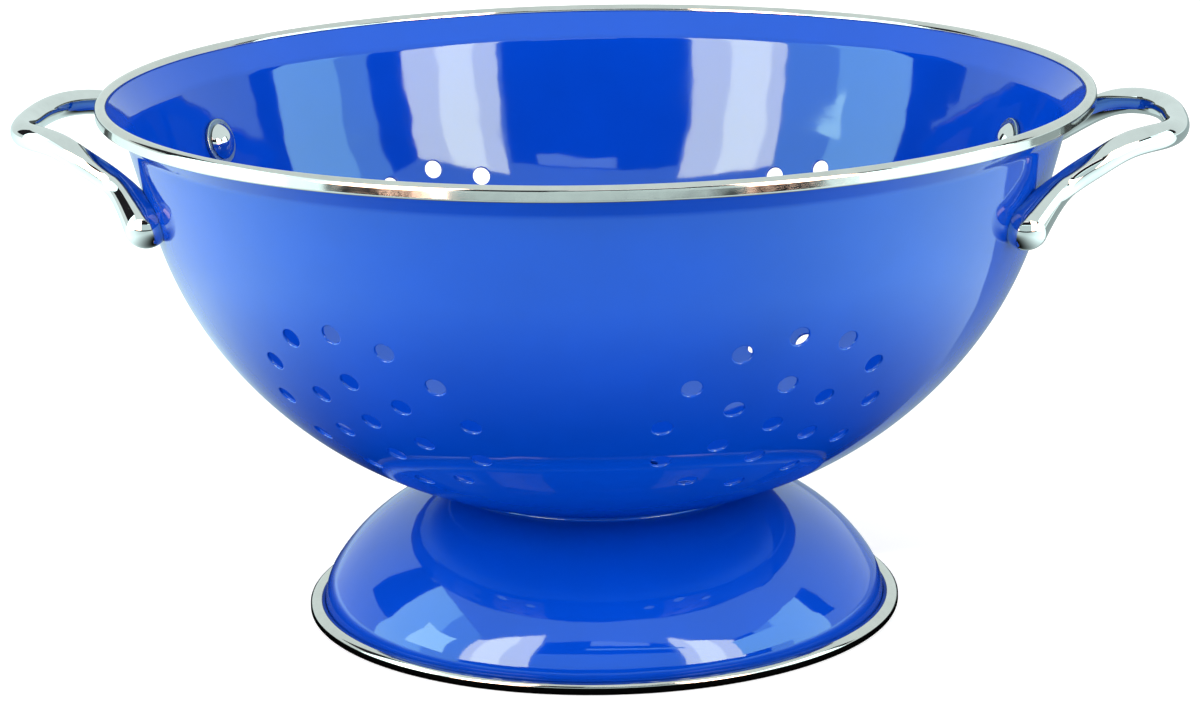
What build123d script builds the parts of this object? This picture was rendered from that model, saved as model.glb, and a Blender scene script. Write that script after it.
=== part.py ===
from build123d import *
import math
import os

os.makedirs("parts", exist_ok=True)

# Driving sizes, in millimetres and degrees
# The table is z = 0, the bowl's axis is Z and the two handles lie along X
rim_radius = 142.0
foot_radius = 86.5
sheet = 0.9
fit_gap = 0.05
overrun = 2.0

# Foot ring: a flared sheet skirt of two tangent arcs, turned out at the bottom
foot_low_arc_radius = 18.73
foot_high_arc_radius = 55.7
foot_join_angle = 32.76
foot_grip = 3.1
seat_radius = 40.4
seat_width = 4.5

# Foot band: a rolled strip round the foot ring's turned-out edge
foot_band_width = 4.4
foot_band_base = 0.75
foot_band_lip = 2.8
foot_band_shoulder = 2.2
foot_band_height = 3.75
foot_band_corner = 0.9

# Bowl: two tangent arcs from a small flat floor to a steep straight wall, then a flared edge
floor_radius = 13.3
side_arc_radius = 107.1
floor_arc_turn = 52.9
wall_slope = 75.0
wall_run = 26.1
rim_overhang = 11.4
flare_slope = 53.0
flare_bend_radius = 5.1

# Strainer holes: side groups and one floor group, each a hole with a ring of 6 and a ring of 12
hole_radius = 2.8
group_slope = 51.7
group_azimuths = (-120.0, -60.0, 60.0, 120.0)
side_inner_ring = 15.5
side_outer_ring = 31.2
floor_inner_ring = 12.0
floor_outer_ring = 24.0
inner_ring_count = 6
outer_ring_count = 12

# Rim band: a rolled strip with a round crown over the bowl's flared edge
rim_band_width = 3.5
rim_band_height = 4.3
rim_band_corner = 0.75
rim_lip_height = 0.16
rim_grip = 1.0
rim_skirt_inset = 0.7

# Rivets and washers: one of each at every handle foot
rivet_azimuth = 22.3
rivet_drop = 26.9
shank_radius = 2.5
shank_depth = 6.0
hole_play = 0.1
dome_radius = 5.4
dome_height = 2.6
dome_edge = 0.35
washer_radius = 7.0
washer_thickness = 1.0
washer_edge_radius = 0.3

# Handles: a round bar that swells into a rounded foot, a ball beside each rivet
bar_radius = 3.75
ball_radius = 6.3
ball_standoff = 3.0
ball_side = 1.35
ball_down = 2.8
handle_reach = 43.0
handle_rise = 20.0

# Half of the handle's centre line, from the foot ball to the middle of the grip
# Each point: share of the reach, of the half span, of the rise and of the swelling from bar to ball
handle_shares = (
    (0.0, 1.0, 0.0, 1.0),
    (0.128, 0.858, 0.256, 0.5),
    (0.258, 0.751, 0.466, 0.0),
    (0.449, 0.7075, 0.723, 0.0),
    (0.663, 0.6255, 0.945, 0.0),
    (0.877, 0.487, 1.0, 0.0),
    (0.979, 0.266, 0.99, 0.0),
    (1.0, 0.0, 0.985, 0.0),
)


def turned(angle):
    """Unit vector in a half section, at this angle in degrees from the outward direction."""
    return Vector(math.cos(math.radians(angle)), math.sin(math.radians(angle)))


def slope_point(centre, radius, slope):
    """Point of a cup-shaped arc where its surface rises at this slope."""
    return centre + radius * turned(slope - 90)


def angle_at(centre, point):
    """Angle in degrees at which a point of the half section lies round a centre."""
    return math.degrees(math.atan2(point.Y - centre.Y, point.X - centre.X))


def outer_crossing(centre_a, radius_a, centre_b, radius_b):
    """The crossing of two circles that lies farther out from the axis."""
    apart = centre_b - centre_a
    along = (radius_a**2 - radius_b**2 + apart.length**2) / (2 * apart.length)
    aside = math.sqrt(radius_a**2 - along**2)
    ahead = apart.normalized()
    return centre_a + ahead * along + Vector(ahead.Y, -ahead.X) * aside


def arc_between(centre, radius, start_angle, end_angle):
    """Arc round a centre from one angle to another."""
    return CenterArc(centre, radius, start_angle, end_angle - start_angle)


# Foot ring places in the half section: X is the distance from the axis, Y is the height
foot_wall_radius = foot_radius - foot_band_width
foot_flange_bottom = foot_band_base + fit_gap
foot_flange_top = foot_flange_bottom + sheet
foot_flange_end = foot_wall_radius + foot_grip
foot_low_centre = Vector(foot_wall_radius - foot_low_arc_radius, foot_flange_top)
foot_high_centre = foot_low_centre - turned(foot_join_angle) * (foot_high_arc_radius - foot_low_arc_radius)
seat_rise = math.sqrt(foot_high_arc_radius**2 - (seat_radius - foot_high_centre.X) ** 2)
seat_point = Vector(seat_radius, foot_high_centre.Y + seat_rise)

# Bowl places: the lower arc follows from the rim's radius, and the bowl sits on the foot ring's seat
wall_radius = rim_radius - rim_overhang
side_centre_radius = wall_radius - side_arc_radius
floor_arc_radius = side_arc_radius + (side_centre_radius - floor_radius) / math.sin(math.radians(floor_arc_turn))
seat_arc_radius = floor_arc_radius + fit_gap
floor_centre_height = seat_point.Y + math.sqrt(seat_arc_radius**2 - (seat_radius - floor_radius) ** 2)
floor_centre = Vector(floor_radius, floor_centre_height)
floor_height = floor_centre_height - floor_arc_radius
side_centre = slope_point(floor_centre, floor_arc_radius - side_arc_radius, floor_arc_turn)
wall_start = slope_point(side_centre, side_arc_radius, wall_slope)
wall_end = wall_start + wall_run * turned(wall_slope)
bend_centre = wall_end + flare_bend_radius * turned(wall_slope - 90)
flare_start = bend_centre + (flare_bend_radius + sheet) * turned(flare_slope + 90)
rim_inner_radius = rim_radius - rim_band_width
flare_length = (rim_inner_radius + rim_grip - flare_start.X) / math.cos(math.radians(flare_slope))
flare_end = flare_start + flare_length * turned(flare_slope)


def flare_height(radius, depth):
    """Height of the flared edge at a radius, this depth below its upper face."""
    rise = (radius - flare_end.X) * math.tan(math.radians(flare_slope))
    return flare_end.Y + rise - depth / math.cos(math.radians(flare_slope))


# Rim band places
crown_radius = rim_band_width / 2
rim_lip = flare_height(rim_inner_radius, -fit_gap)
crown_height = rim_lip + rim_lip_height
total_height = crown_height + crown_radius
rim_bottom = total_height - rim_band_height
rim_skirt_radius = rim_inner_radius + rim_skirt_inset


def bowl_outline(depth):
    """Half outline of the bowl's wall at this depth inside its outer face, and its end."""
    floor = Line((0, floor_height + depth), (floor_radius, floor_height + depth))
    low = JernArc(floor @ 1, floor % 1, floor_arc_radius - depth, floor_arc_turn)
    side = JernArc(low @ 1, low % 1, side_arc_radius - depth, wall_slope - floor_arc_turn)
    run = PolarLine(side @ 1, wall_run, wall_slope)
    bend = JernArc(run @ 1, run % 1, flare_bend_radius + depth, flare_slope - wall_slope)
    return PolarLine(bend @ 1, flare_length, flare_slope)


def ring_offsets(inner_ring, outer_ring):
    """Centres of a hole group in its own plane: the middle, the inner ring and the outer ring."""
    offsets = [Vector(0, 0)]
    for radius, count in ((inner_ring, inner_ring_count), (outer_ring, outer_ring_count)):
        offsets += [radius * turned(90 + 360 * step / count) for step in range(count)]
    return offsets


def wall_plane(azimuth, point, slope):
    """Plane on the wall at a half-section point: Z points out of the wall, Y up along it."""
    out = Vector(math.cos(math.radians(azimuth)), math.sin(math.radians(azimuth)), 0)
    level = Vector(-out.Y, out.X, 0)
    normal = out * math.sin(math.radians(slope)) - Vector(0, 0, math.cos(math.radians(slope)))
    return Plane(origin=out * point.X + Vector(0, 0, point.Y), x_dir=level, z_dir=normal)


# The bowl's outer faces as one closed body, grown by the fit clearance
# It trims the handle feet to the wall
with BuildPart() as wall_body:
    with BuildSketch(Plane.XZ):
        with BuildLine():
            grown_edge = bowl_outline(-fit_gap)
            Polyline(grown_edge @ 1, (0, (grown_edge @ 1).Y), (0, floor_height - fit_gap))
        make_face()
    revolve(axis=Axis.Z)

# Rivet places, one at each end of both handles, on the straight wall or lower down on the side arc
rivet_height = total_height - rivet_drop
arc_slope = math.degrees(math.acos((side_centre.Y - rivet_height) / side_arc_radius))
rivet_slope = min(arc_slope, wall_slope)
rivet_rise = max(rivet_height - wall_start.Y, 0) / math.sin(math.radians(wall_slope))
rivet_point = slope_point(side_centre, side_arc_radius, rivet_slope) + rivet_rise * turned(wall_slope)
rivet_places = {
    "right_front": wall_plane(-rivet_azimuth, rivet_point, rivet_slope),
    "right_back": wall_plane(rivet_azimuth, rivet_point, rivet_slope),
    "left_front": wall_plane(180 + rivet_azimuth, rivet_point, rivet_slope),
    "left_back": wall_plane(180 - rivet_azimuth, rivet_point, rivet_slope),
}

# Bowl: the shell, its strainer holes and its rivet holes
with BuildPart() as bowl:
    with BuildSketch(Plane.XZ):
        with BuildLine():
            outer_edge = bowl_outline(0)
            inner_edge = bowl_outline(sheet)
            Line(outer_edge @ 1, inner_edge @ 1)
            Line((0, floor_height), (0, floor_height + sheet))
        make_face()
    revolve(axis=Axis.Z)
    shell = bowl.part
    drill_planes = []
    for azimuth in group_azimuths:
        middle = wall_plane(azimuth, slope_point(floor_centre, floor_arc_radius, group_slope), group_slope)
        for offset in ring_offsets(side_inner_ring, side_outer_ring):
            aim = Axis(middle.offset(hole_radius).from_local_coords(offset), -middle.z_dir)
            point, normal = shell.find_intersection_points(aim)[0]
            drill_planes.append(Plane(origin=point, z_dir=normal))
    for offset in ring_offsets(floor_inner_ring, floor_outer_ring):
        aim = Axis(Vector(offset.X, offset.Y, 0), Vector(0, 0, 1))
        point, normal = shell.find_intersection_points(aim)[0]
        drill_planes.append(Plane(origin=point, z_dir=normal))
    with Locations(*[plane.offset(overrun) for plane in drill_planes]):
        Hole(hole_radius, depth=sheet + 2 * overrun)
    with Locations(*[plane.offset(overrun) for plane in rivet_places.values()]):
        Hole(shank_radius + hole_play, depth=sheet + 2 * overrun)
bowl.part.label = "bowl"
export_step(bowl.part, "parts/bowl.step")

# Rim band: the strip's section with a slot for the flared edge
slot_end = flare_end + turned(flare_slope) * fit_gap
with BuildPart() as rim_band:
    with BuildSketch(Plane.XZ):
        with BuildLine():
            Line((rim_inner_radius, rim_lip), (rim_inner_radius, crown_height))
            arc_between((rim_inner_radius + crown_radius, crown_height), crown_radius, 180, 0)
            Line((rim_radius, crown_height), (rim_radius, rim_bottom + rim_band_corner))
            arc_between((rim_radius - rim_band_corner, rim_bottom + rim_band_corner), rim_band_corner, 0, -90)
            Polyline(
                (rim_radius - rim_band_corner, rim_bottom),
                (rim_skirt_radius, rim_bottom),
                (rim_skirt_radius, flare_height(rim_skirt_radius, sheet + fit_gap)),
                slot_end + turned(flare_slope - 90) * (sheet + fit_gap),
                slot_end + turned(flare_slope + 90) * fit_gap,
                (rim_inner_radius, rim_lip),
            )
        make_face()
    revolve(axis=Axis.Z)
rim_band.part.label = "rim_band"
export_step(rim_band.part, "parts/rim_band.step")

# Foot ring: seat under the bowl, two arcs down, turned-out edge
seat_outer = seat_arc_radius + sheet
under_seat = outer_crossing(foot_high_centre, foot_high_arc_radius - sheet, floor_centre, seat_outer)
seat_end_angle = -math.degrees(math.acos((seat_radius - seat_width - floor_radius) / seat_arc_radius))
with BuildPart() as foot_ring:
    with BuildSketch(Plane.XZ):
        with BuildLine():
            Line((foot_flange_end, foot_flange_top), (foot_wall_radius, foot_flange_top))
            arc_between(foot_low_centre, foot_low_arc_radius, 0, foot_join_angle)
            high_angle = angle_at(foot_high_centre, seat_point)
            arc_between(foot_high_centre, foot_high_arc_radius, foot_join_angle, high_angle)
            seat_angle = angle_at(floor_centre, seat_point)
            seat_top = arc_between(floor_centre, seat_arc_radius, seat_angle, seat_end_angle)
            under_angle = angle_at(floor_centre, under_seat)
            seat_under = arc_between(floor_centre, seat_outer, seat_end_angle, under_angle)
            Line(seat_top @ 1, seat_under @ 0)
            inner_angle = angle_at(foot_high_centre, under_seat)
            arc_between(foot_high_centre, foot_high_arc_radius - sheet, inner_angle, foot_join_angle)
            arc_between(foot_low_centre, foot_low_arc_radius - sheet, foot_join_angle, 0)
            arc_between((foot_wall_radius, foot_flange_top), sheet, 180, 270)
            Polyline(
                (foot_wall_radius, foot_flange_bottom),
                (foot_flange_end, foot_flange_bottom),
                (foot_flange_end, foot_flange_top),
            )
        make_face()
    revolve(axis=Axis.Z)
foot_ring.part.label = "foot_ring"
export_step(foot_ring.part, "parts/foot_ring.step")

# Foot band: the strip's section with a slot for the turned-out edge
band_inner = foot_wall_radius + fit_gap
base_inner = band_inner + foot_band_base
band_middle = (band_inner + foot_radius) / 2
with BuildPart() as foot_band:
    with BuildSketch(Plane.XZ):
        with BuildLine():
            Line((band_inner, foot_flange_top + fit_gap), (band_inner, foot_band_lip))
            ThreePointArc(
                (band_inner, foot_band_lip),
                (band_middle, foot_band_height),
                (foot_radius, foot_band_shoulder),
            )
            Line((foot_radius, foot_band_shoulder), (foot_radius, foot_band_corner))
            arc_between((foot_radius - foot_band_corner, foot_band_corner), foot_band_corner, 0, -90)
            Line((foot_radius - foot_band_corner, 0), (base_inner, 0))
            arc_between((base_inner, foot_band_base), foot_band_base, 270, 180)
            Polyline(
                (band_inner, foot_band_base),
                (foot_flange_end + fit_gap, foot_band_base),
                (foot_flange_end + fit_gap, foot_flange_top + fit_gap),
                (band_inner, foot_flange_top + fit_gap),
            )
        make_face()
    revolve(axis=Axis.Z)
foot_band.part.label = "foot_band"
export_step(foot_band.part, "parts/foot_band.step")

# Handle centre line: from the ball at the back rivet, round the grip, to the ball at the front rivet
back_ball = rivet_places["right_back"].from_local_coords(Vector(ball_side, -ball_down, ball_standoff))
line_points = []
bar_radii = []
for end, share_rows in ((1, handle_shares), (-1, handle_shares[-2::-1])):
    for reach_share, span_share, rise_share, swelling_share in share_rows:
        reach = Vector(reach_share * handle_reach, 0, rise_share * handle_rise)
        line_points.append(Vector(back_ball.X, end * span_share * back_ball.Y, back_ball.Z) + reach)
        bar_radii.append(bar_radius + swelling_share * (ball_radius - bar_radius))

# Handle: round bar lofted along its centre line, half a ball on each end, trimmed to the wall and bored
with BuildPart() as handle_form:
    with BuildLine(mode=Mode.PRIVATE) as centre_line:
        Spline(*line_points)
    bar_edge = centre_line.edge()
    for point, radius in zip(line_points, bar_radii):
        ahead = bar_edge % bar_edge.param_at_point(point)
        with BuildSketch(Plane(origin=point, x_dir=ahead.cross(Vector(0, 0, 1)), z_dir=ahead)):
            Circle(radius)
    loft()
    for point, out in ((bar_edge @ 0, -(bar_edge % 0)), (bar_edge @ 1, bar_edge % 1)):
        with Locations(Plane(origin=point, z_dir=out)):
            Sphere(ball_radius, arc_size1=0, align=(Align.CENTER, Align.CENTER, Align.MIN))
    add(wall_body.part, mode=Mode.SUBTRACT)
    with Locations(rivet_places["right_back"], rivet_places["right_front"]):
        Cylinder(
            shank_radius + fit_gap,
            shank_depth,
            align=(Align.CENTER, Align.CENTER, Align.MIN),
            mode=Mode.SUBTRACT,
        )

for side, turn in (("right", 0), ("left", 180)):
    with BuildPart() as handle:
        add(handle_form.part, rotation=(0, 0, turn))
    handle.part.label = "handle_" + side
    export_step(handle.part, "parts/handle_" + side + ".step")

# Washers lie flat on the hollow inner wall, so their rims touch it first, at most as far in as on the side arc
inner_curve_radius = side_arc_radius - sheet
washer_sag = inner_curve_radius - math.sqrt(inner_curve_radius**2 - washer_radius**2)
washer_face = sheet + washer_sag + fit_gap
dome_face = washer_face + washer_thickness + fit_gap
for place, plane in rivet_places.items():
    with BuildPart() as washer:
        with BuildSketch(plane.offset(-washer_face)):
            Circle(washer_radius)
            Circle(shank_radius + hole_play, mode=Mode.SUBTRACT)
        extrude(amount=-washer_thickness)
        inner_rims = washer.edges().filter_by(GeomType.CIRCLE).group_by(SortBy.RADIUS)[-1]
        fillet(inner_rims, washer_edge_radius)
    washer.part.label = "washer_" + place
    export_step(washer.part, "parts/washer_" + place + ".step")

# Rivets: a domed head over the washer and a shank into the handle foot
dome_arc_radius = (dome_radius**2 + dome_height**2) / (2 * dome_height)
for place, plane in rivet_places.items():
    across = Plane(origin=plane.origin, x_dir=plane.x_dir, z_dir=plane.x_dir.cross(plane.z_dir))
    with BuildPart() as rivet:
        with BuildSketch(across):
            with BuildLine():
                Polyline(
                    (0, -dome_face - dome_edge - dome_height),
                    (0, shank_depth - fit_gap),
                    (shank_radius, shank_depth - fit_gap),
                    (shank_radius, -dome_face),
                    (dome_radius, -dome_face),
                    (dome_radius, -dome_face - dome_edge),
                )
                RadiusArc(
                    (dome_radius, -dome_face - dome_edge),
                    (0, -dome_face - dome_edge - dome_height),
                    dome_arc_radius,
                )
            make_face()
        revolve(axis=Axis(plane.origin, plane.z_dir))
    rivet.part.label = "rivet_" + place
    export_step(rivet.part, "parts/rivet_" + place + ".step")

print("total height", round(total_height, 2), "floor height", round(floor_height, 2))
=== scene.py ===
"""A footed enamelled colander: its looks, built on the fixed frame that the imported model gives.

Run as a script, it makes every piece as a surface worked out with numpy, gives each piece its finish, and
sets up a plain pale studio with the camera. All lengths are in metres, the table is z = 0, the bowl's axis is
Z and the two handles lie along X.
"""

import math

import bpy
import numpy as np
from mathutils import Matrix, Vector


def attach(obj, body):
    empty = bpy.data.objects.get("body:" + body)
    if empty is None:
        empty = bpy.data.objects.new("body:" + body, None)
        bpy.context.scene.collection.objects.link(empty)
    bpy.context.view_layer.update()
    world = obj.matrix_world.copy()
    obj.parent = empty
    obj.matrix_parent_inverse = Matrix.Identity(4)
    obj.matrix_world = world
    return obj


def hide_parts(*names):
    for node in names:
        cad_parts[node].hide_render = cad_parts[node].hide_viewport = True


bl_info = {
    "name": "Footed enamelled colander",
    "version": (1, 0, 0),
    "blender": (4, 5, 0),
    "location": "3D View > Sidebar > Colander",
    "description": "Builds a footed enamelled colander with its bands, handles and rivets, and its studio",
    "category": "Object",
}

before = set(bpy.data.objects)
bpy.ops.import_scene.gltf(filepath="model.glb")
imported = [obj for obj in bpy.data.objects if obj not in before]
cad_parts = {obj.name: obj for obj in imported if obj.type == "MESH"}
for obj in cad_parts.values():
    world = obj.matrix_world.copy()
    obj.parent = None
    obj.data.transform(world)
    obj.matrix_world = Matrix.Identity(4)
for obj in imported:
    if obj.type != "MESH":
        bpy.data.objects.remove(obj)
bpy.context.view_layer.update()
MM = 0.001

# Play between pieces that fit together, and between a rivet's shank and its holes
FIT_GAP = 0.05 * MM
HOLE_PLAY = 0.1 * MM

# The bowl's regular grid: its columns all round, and the rows beside the hole groups and beside the rivets,
# as lengths along the outline. A window for a group or a rivet reaches half its columns to each side.
COLUMNS = 288
GROUP_ROWS = np.linspace(76 * MM, 166 * MM, 37)
RIVET_ROWS = np.linspace(166 * MM, 180 * MM, 7)
GROUP_HALF, RIVET_HALF = 18, 4

# Cells round the holes: points on a radial side, on the middle cell's arcs and on the arcs between the rings
RAY_STEPS, MIDDLE_STEPS, RING_STEPS = 6, 8, 12

# Handles: rows along the bar, points round it, and rows from the bar's end to the tip of its half ball
BAR_ROWS, BAR_SIDES, CAP_ROWS = 281, 64, 17


def length(label, words, millimetres):
    """A length property in metres, with its default given in millimetres."""
    return bpy.props.FloatProperty(
        name=label, description=words, default=millimetres * MM, unit="LENGTH", precision=5
    )


def angle(label, words, degrees):
    """An angle property, with its default given in degrees."""
    return bpy.props.FloatProperty(
        name=label, description=words, default=math.radians(degrees), unit="ROTATION", subtype="ANGLE"
    )


def share(label, words, value, top=1.0):
    """A plain number property between zero and its top."""
    return bpy.props.FloatProperty(name=label, description=words, default=value, min=0.0, max=top)


def colour(label, words, value):
    """A colour property, in linear light."""
    return bpy.props.FloatVectorProperty(
        name=label, description=words, default=value, subtype="COLOR", size=3, min=0.0, max=1.0
    )


class ColanderBowlSizes(bpy.types.PropertyGroup):
    rim_radius: length("Rim radius", "Outside of the rim band, from the bowl's axis", 141.99)
    sheet: length("Sheet", "Thickness of the coated sheet", 0.9)
    floor_radius: length("Floor radius", "Flat middle of the bowl's floor", 13.3)
    floor_height: length("Floor height", "Underside of the floor above the table", 33.75)
    side_arc_radius: length("Side arc radius", "Upper arc of the bowl's half section", 107.1)
    floor_arc_turn: angle("Floor arc turn", "Slope at which the lower arc meets the upper one", 52.9)
    wall_slope: angle("Wall slope", "Slope of the wall's straight stretch under the bend", 75.0)
    wall_run: length("Wall run", "Straight stretch of the wall under the bend", 26.1)
    flare_slope: angle("Flare slope", "Slope of the flared edge", 53.0)
    rim_overhang: length("Rim overhang", "From the upper arc's widest place to the band's outside", 11.4)
    bend_radius: length("Bend radius", "Outer bend between the wall and the flared edge", 5.1)
    edge_inset: length("Edge inset", "From the outside of the rim band to the sheet's edge inside it", 2.5)
    hole_radius: length("Hole radius", "Strainer holes", 2.8)
    hole_lip: length("Hole lip", "Rounding of the coat over a hole's edges", 0.36)
    rivet_hole_lip: length("Rivet hole lip", "Rounding of the coat over a rivet hole's edges", 0.25)
    group_slope: angle("Group slope", "Slope of the wall at the middle of a side group", 51.7)
    group_azimuth: angle("Group azimuth", "Angle of each side group from the nearer handle", 60.0)
    side_ring: length("Side outer ring", "Outer ring of a side group", 31.2)
    side_inner_ring: length("Side inner ring", "Inner ring of a side group", 15.5)
    floor_ring: length("Floor outer ring", "Outer ring of the floor group", 24.0)
    floor_inner_ring: length("Floor inner ring", "Inner ring of the floor group", 12.0)


class ColanderFootSizes(bpy.types.PropertyGroup):
    foot_radius: length("Foot radius", "Outside of the foot band, from the axis", 86.5)
    wall_radius: length("Skirt radius", "Outside of the foot ring just above its band", 82.1)
    low_arc_radius: length("Low arc radius", "Lower arc of the foot ring's half section", 18.73)
    high_arc_radius: length("High arc radius", "Upper arc of the foot ring's half section", 55.7)
    join_angle: angle("Join angle", "Angle up from level at which the two arcs meet", 32.76)
    flange_height: length("Flange height", "Top of the turned-out edge above the table", 1.7)
    flange_width: length("Flange width", "Turned-out edge that the foot band holds", 3.1)
    seat_radius: length("Seat radius", "Where the foot ring's outside meets the bowl", 40.4)
    seat_width: length("Seat width", "Part of the foot ring that lies against the bowl", 4.5)
    coat_fillet: length("Coat fillet", "Coat pooled in the corner between the foot ring and the bowl", 0.6)


class ColanderBandSizes(bpy.types.PropertyGroup):
    rim_width: length("Rim band width", "Width of the rolled strip over the bowl's edge", 3.5)
    rim_height: length("Rim band height", "Height of that strip", 4.3)
    rim_top: length("Rim top", "Top of the rim band above the table", 153.87)
    rim_corner: length("Rim corner", "Rounding of the rim band's lower edge", 0.75)
    rim_skirt: length("Rim skirt inset", "From the rim band's inner lip to its skirt's inner face", 0.7)
    rim_bevel: length("Rim skirt bevel", "Bevel at the foot of that skirt", 0.15)
    rim_mouth: length("Rim slot mouth", "Bevel at the slot's mouth, over the bowl's edge", 0.2)
    rim_mouth_rise: length("Rim mouth rise", "Height of that bevel", 0.07)
    foot_width: length("Foot band width", "Width of the rolled strip round the foot", 4.35)
    foot_height: length("Foot band height", "Height of that strip", 3.75)
    foot_lip: length("Foot lip", "Height of the foot band at its inner side", 2.8)
    foot_shoulder: length("Foot shoulder", "Height of the foot band at its outer side", 2.2)
    foot_corner: length("Foot corner", "Rounding of the foot band's lower edge", 0.9)
    foot_heel: length("Foot heel", "Rounding of the foot band's inner lower edge", 0.75)
    foot_fall: length("Foot edge fall", "Small step down at both edges of the foot band's top", 0.12)


class ColanderHandleSizes(bpy.types.PropertyGroup):
    bar_radius: length("Bar radius", "Round bar of the grip", 3.75)
    ball_radius: length("Foot radius", "Rounded end at each rivet", 6.3)
    ball_standoff: length("Foot standoff", "Middle of the rounded end, out from the wall", 3.0)
    ball_side: length("Foot side step", "Middle of the rounded end, sideways from the rivet", 1.35)
    ball_down: length("Foot drop", "Middle of the rounded end, below the rivet", 2.8)
    reach: length("Reach", "From the rounded ends to the middle of the grip", 43.0)
    rise: length("Rise", "Height of the grip's top over the rounded ends", 20.0)
    swelling: bpy.props.FloatProperty(
        name="Swelling", description="Power of the swelling from the bar to a rounded end", default=1.25
    )


class ColanderRivetSizes(bpy.types.PropertyGroup):
    azimuth: angle("Rivet azimuth", "Angle of each rivet from its handle's middle, round the bowl", 22.3)
    drop: length("Rivet drop", "Rivets below the top of the rim band", 26.9)
    dome_radius: length("Dome radius", "Rivet head inside the bowl", 5.4)
    dome_height: length("Dome height", "Height of that head above its straight edge", 2.6)
    dome_edge: length("Dome edge", "Straight edge under the dome", 0.35)
    dome_bevel: length("Dome bevel", "Bevel under that edge", 0.1)
    shank_radius: length("Shank radius", "Rivet shank", 2.5)
    shank_depth: length("Shank depth", "Shank outside the wall's outer face, in the handle's foot", 5.95)
    washer_radius: length("Washer radius", "Washer under the rivet head", 7.0)
    washer_thickness: length("Washer thickness", "Thickness of the washer", 1.0)
    washer_edge: length("Washer edge", "Rounding of the washer's rim", 0.3)
    washer_back_edge: length("Washer back edge", "Rounding of the washer's rim against the wall", 0.1)
    washer_hole_edge: length("Washer hole edge", "Rounding of the washer's hole", 0.05)


class ColanderFinishes(bpy.types.PropertyGroup):
    coat: colour("Coat", "Colour of the enamel coat", (0.0, 0.056, 0.53))
    coat_gloss: share("Coat roughness", "Roughness of the enamel coat", 0.05)
    chrome: colour("Chrome", "Colour of the polished handles and rivet heads", (0.8, 0.8, 0.79))
    band: colour("Band", "Colour of the rolled bands", (0.74, 0.72, 0.69))
    washer: colour("Washer", "Colour of the washers", (0.42, 0.52, 0.52))


class ColanderStudio(bpy.types.PropertyGroup):
    camera_side: length("Camera to the side", "Camera from the bowl's axis, along the handles", 91.754)
    camera_back: length("Camera back", "Camera in front of the bowl's axis", 1054.456)
    camera_height: length("Camera height", "Camera above the table", 347.97)
    turn: angle("Camera turn", "Angle of the view from straight across the handles", 4.974)
    tilt: angle("Camera tilt", "Angle by which the camera looks down", 14.4499)
    lean: angle("Camera lean", "Angle by which the camera leans to its right", 1.0084)
    focal: bpy.props.FloatProperty(
        name="Focal length", description="In millimetres, on a sensor 36 mm wide", default=112.876
    )
    panel_glow: share("Panel glow", "Strength of the two front light panels", 11.6, 50.0)
    side_glow: share("Side glow", "Strength of the light panels at the sides", 2.8, 50.0)
    room_glow: share("Room glow", "Strength of the room's walls in reflections", 0.85, 10.0)
    sky: share("Sky", "Strength of the even light that falls on the object", 1.5, 10.0)


# Surfaces: blocks of rows and columns of points, each with its outward normals


def unit(v):
    """Each vector over its own length."""
    return v / np.linalg.norm(v, axis=-1, keepdims=True)


def piece_from_blocks(name, blocks, exact=True, tolerance=1e-6):
    """One mesh from blocks of points and normals.

    Each block is a grid of rows by columns. Every four neighbouring points make a face, points of different
    blocks that fall on the same place are made one, a face with two points in one place becomes a triangle,
    and faces that have shrunk to a line are left out.
    """
    points, normals, faces, count = [], [], [], 0
    for place, normal in blocks:
        rows, columns = place.shape[:2]
        index = np.arange(rows * columns).reshape(rows, columns) + count
        quads = np.stack([index[:-1, :-1], index[:-1, 1:], index[1:, 1:], index[1:, :-1]], axis=-1)
        points.append(place.reshape(-1, 3))
        normals.append(normal.reshape(-1, 3))
        faces.append(quads.reshape(-1, 4))
        count += rows * columns
    points, normals, faces = np.concatenate(points), np.concatenate(normals), np.concatenate(faces)
    # The shift keeps round lengths away from the borders between cells
    shift = 0.37
    cells = np.round(points / tolerance + shift).astype(np.int64)
    _, first, back = np.unique(cells, axis=0, return_index=True, return_inverse=True)
    faces = back.reshape(-1)[faces]
    points, normals = points[first], unit(normals[first])
    same = np.stack([faces[:, i] == faces[:, (i + 1) % 4] for i in range(4)], axis=1)
    quads = faces[~same.any(axis=1)]
    folded = faces[same.sum(axis=1) == 1]
    at = np.argmax(same[same.sum(axis=1) == 1], axis=1)
    turns = (at[:, None] + 1 + np.arange(3)[None, :]) % 4
    triangles = np.take_along_axis(folded, turns, axis=1)
    mesh = bpy.data.meshes.new(name)
    mesh.vertices.add(len(points))
    mesh.vertices.foreach_set("co", points.astype(np.float32).ravel())
    loops = np.concatenate([quads.ravel(), triangles.ravel()]).astype(np.int32)
    starts = np.concatenate([np.arange(len(quads)) * 4, len(quads) * 4 + np.arange(len(triangles)) * 3])
    mesh.loops.add(len(loops))
    mesh.loops.foreach_set("vertex_index", loops)
    mesh.polygons.add(len(starts))
    mesh.polygons.foreach_set("loop_start", starts.astype(np.int32))
    mesh.update(calc_edges=True)
    mesh.validate()
    mesh.shade_smooth()
    if exact:
        mesh.normals_split_custom_set_from_vertices(normals.tolist())
    piece = bpy.data.objects.new(name, mesh)
    bpy.context.scene.collection.objects.link(piece)
    return piece


def finish_piece(piece, material, slot, *nodes):
    """Gives a piece its finish and lets it stand for its nodes in the frame; its slot is not used."""
    piece.data.materials.clear()
    piece.data.materials.append(material)
    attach(piece, "root")
    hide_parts(*nodes)
    return piece


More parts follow.
